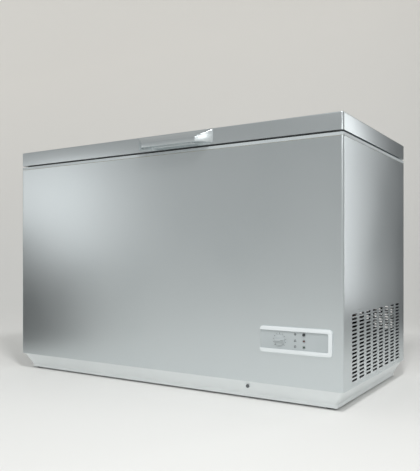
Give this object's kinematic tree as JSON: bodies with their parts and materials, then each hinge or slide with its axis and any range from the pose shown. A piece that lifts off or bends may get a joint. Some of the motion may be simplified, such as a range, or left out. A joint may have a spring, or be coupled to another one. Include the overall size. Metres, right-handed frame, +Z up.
{
  "type": "chest freezer",
  "caption": "Wide free-standing chest freezer in silver-grey steel with a slanted base skirt, top-opening lid with a front grip, side vent grille and a small control panel low on the front.",
  "frame": {"origin": "on the floor, under the middle of the whole outline, lid handle and rear wall spacers included", "axes": "+X to the machine and control-panel side (the right when facing the front), -Y the front, +Z up"},
  "size_m": [1.38, 0.758, 0.885],
  "materials": {
    "outer_steel": "satin silver-grey lacquer on steel sheet",
    "handle_shell": "satin silver-grey lacquer",
    "skirt_steel": "satin silver-grey lacquer",
    "grille_steel": "satin silver-grey lacquer",
    "zinc_sheet": "galvanised sheet, dull",
    "screw_zinc": "zinc plated",
    "rubber_black": "matte",
    "gasket_rubber": "matte soft vinyl",
    "black_plastic": "matte",
    "foam": "matte rigid foam",
    "tub_sheet": "white lacquered, satin",
    "rim_plastic": "satin",
    "panel_plastic": "satin",
    "copper_tube": "satin copper",
    "compressor_paint": "black semi-gloss lacquer",
    "bezel_plastic": "silver-white satin",
    "fascia_plastic": "matte silver-grey",
    "knob_plastic": "satin silver-grey",
    "button_plastic": "satin",
    "thermostat_steel": "zinc plated",
    "lamp_red": "glossy, tinted",
    "lamp_green": "glossy, tinted",
    "bulb_glass": "frosted",
    "lens_plastic": "frosted, translucent",
    "hinge_steel": "zinc plated",
    "spring_steel": "oiled spring steel",
    "basket_coating": "white plastic-coated wire",
    "grip_plastic": "satin"
  },
  "bodies": {
    "cabinet": {"cabinet_wrap": "outer_steel", "rear_panel": "zinc_sheet", "base_tray": "zinc_sheet", "skirt": "skirt_steel", "skirt_screws": "screw_zinc", "feet": "rubber_black", "wall_spacers": "black_plastic", "cabinet_foam": "foam", "inner_liner": "tub_sheet", "rim_collar": "rim_plastic", "machine_bay_wall": "zinc_sheet", "side_grille": "grille_steel", "rear_cover": "zinc_sheet", "rear_cover_screws": "screw_zinc", "cable_gland": "black_plastic", "condenser_coil": "copper_tube", "evaporator_coil": "copper_tube", "compressor": "compressor_paint", "compressor_grommets": "rubber_black", "compressor_bolts": "screw_zinc", "compressor_plate": "zinc_sheet", "starter_box": "black_plastic", "filter_drier": "copper_tube", "discharge_pipe": "copper_tube", "suction_pipe": "copper_tube", "capillary_tube": "copper_tube", "wiring_loom": "black_plastic", "control_housing": "panel_plastic", "control_bezel": "bezel_plastic", "control_fascia": "fascia_plastic", "thermostat": "thermostat_steel", "fast_freeze_switch": "black_plastic", "alarm_lamp": "lamp_red", "power_lamp": "lamp_green", "drain_pipe": "panel_plastic", "drain_collar": "rubber_black", "hinge_bracket_left": "hinge_steel", "hinge_bracket_right": "hinge_steel", "hinge_pins": "hinge_steel", "hinge_springs": "spring_steel", "hinge_screws": "screw_zinc"},
    "lid": {"lid_skin": "outer_steel", "lid_foam": "foam", "lid_inner_panel": "panel_plastic", "lid_gasket": "gasket_rubber", "lid_handle": "handle_shell", "handle_screws": "screw_zinc", "lamp_housing": "panel_plastic", "lamp_bulb": "bulb_glass", "lamp_lens": "lens_plastic", "hinge_leaf_left": "hinge_steel", "hinge_leaf_right": "hinge_steel"},
    "thermostat_knob": {"thermostat_knob": "knob_plastic"},
    "fast_freeze_button": {"fast_freeze_button": "button_plastic"},
    "drain_plug": {"drain_plug": "rubber_black"},
    "drain_stopper": {"drain_stopper": "panel_plastic"},
    "basket_left": {"basket_left": "basket_coating", "basket_left_grips": "grip_plastic"},
    "basket_right": {"basket_right": "basket_coating", "basket_right_grips": "grip_plastic"}
  },
  "joints": [
    {"name": "lid_hinge", "type": "hinge", "parent": "cabinet", "child": "lid", "pos_m": [0, 0.353, 0.822], "axis": [-1, 0, 0], "range_deg": [0, 80], "stiffness_Nm_per_rad": 11, "springref_deg": 114.59},
    {"name": "knob_turn", "type": "hinge", "parent": "cabinet", "child": "thermostat_knob", "pos_m": [0.486, -0.339, 0.20169], "axis": [0, 1, 0], "range_deg": [-135, 135]},
    {"name": "button_press", "type": "slide", "parent": "cabinet", "child": "fast_freeze_button", "axis": [0, 1, 0], "range_m": [0, 0.0022], "stiffness_N_per_m": 500},
    {"name": "drain_plug_pull", "type": "slide", "parent": "cabinet", "child": "drain_plug", "axis": [0, -1, 0], "range_m": [0, 0.03]},
    {"name": "drain_stopper_lift", "type": "slide", "parent": "cabinet", "child": "drain_stopper", "axis": [0, 0, 1], "range_m": [0, 0.03]},
    {"name": "basket_left_slide", "type": "slide", "parent": "cabinet", "child": "basket_left", "axis": [1, 0, 0], "range_m": [-0.235, 0.345]},
    {"name": "basket_right_slide", "type": "slide", "parent": "cabinet", "child": "basket_right", "axis": [1, 0, 0], "range_m": [-0.135, 0.015]}
  ]
}
